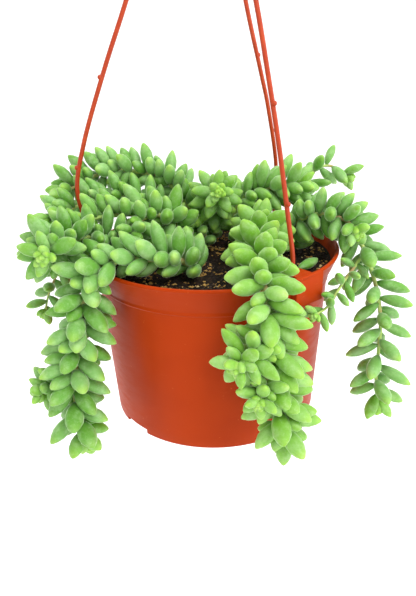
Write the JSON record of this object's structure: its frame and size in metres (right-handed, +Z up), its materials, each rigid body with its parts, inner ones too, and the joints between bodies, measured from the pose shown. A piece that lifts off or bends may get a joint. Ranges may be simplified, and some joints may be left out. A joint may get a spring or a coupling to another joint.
{
  "type": "potted burros tail plant",
  "caption": "Trailing burros tail succulent in a round terracotta-red plastic nursery pot, hung by plastic strands from a hook.",
  "frame": {"origin": "centre of the pot's flat underside", "axes": "+Z up through the pot to the hook; -Y is the front, where the thick leafy column falls; +X is to the right seen from the front"},
  "size_m": [0.2322, 0.2176, 0.3917],
  "materials": {
    "pot_plastic": "smooth moulded plastic with a soft sheen",
    "hanger_plastic": "smooth moulded plastic",
    "potting_mix": "damp crumbly potting mix with tan grit",
    "leaf": "matte waxy bloom"
  },
  "bodies": {
    "root": {"pot": "pot_plastic", "soil": "potting_mix", "hanger": "hanger_plastic", "loose_leaf": "leaf", "stem_front_right": "leaf", "stem_front_left": "leaf", "stem_right": "leaf", "stem_far_right": "leaf", "stem_left": "leaf", "stem_middle": "leaf", "stem_middle_short": "leaf", "stem_left_inner": "leaf", "stem_back_left_low": "leaf", "stem_back_left": "leaf", "stem_back_right": "leaf", "stem_right_spray": "leaf", "stem_left_thin": "leaf", "stem_behind_left": "leaf", "stem_behind_right": "leaf"}
  },
  "joints": []
}
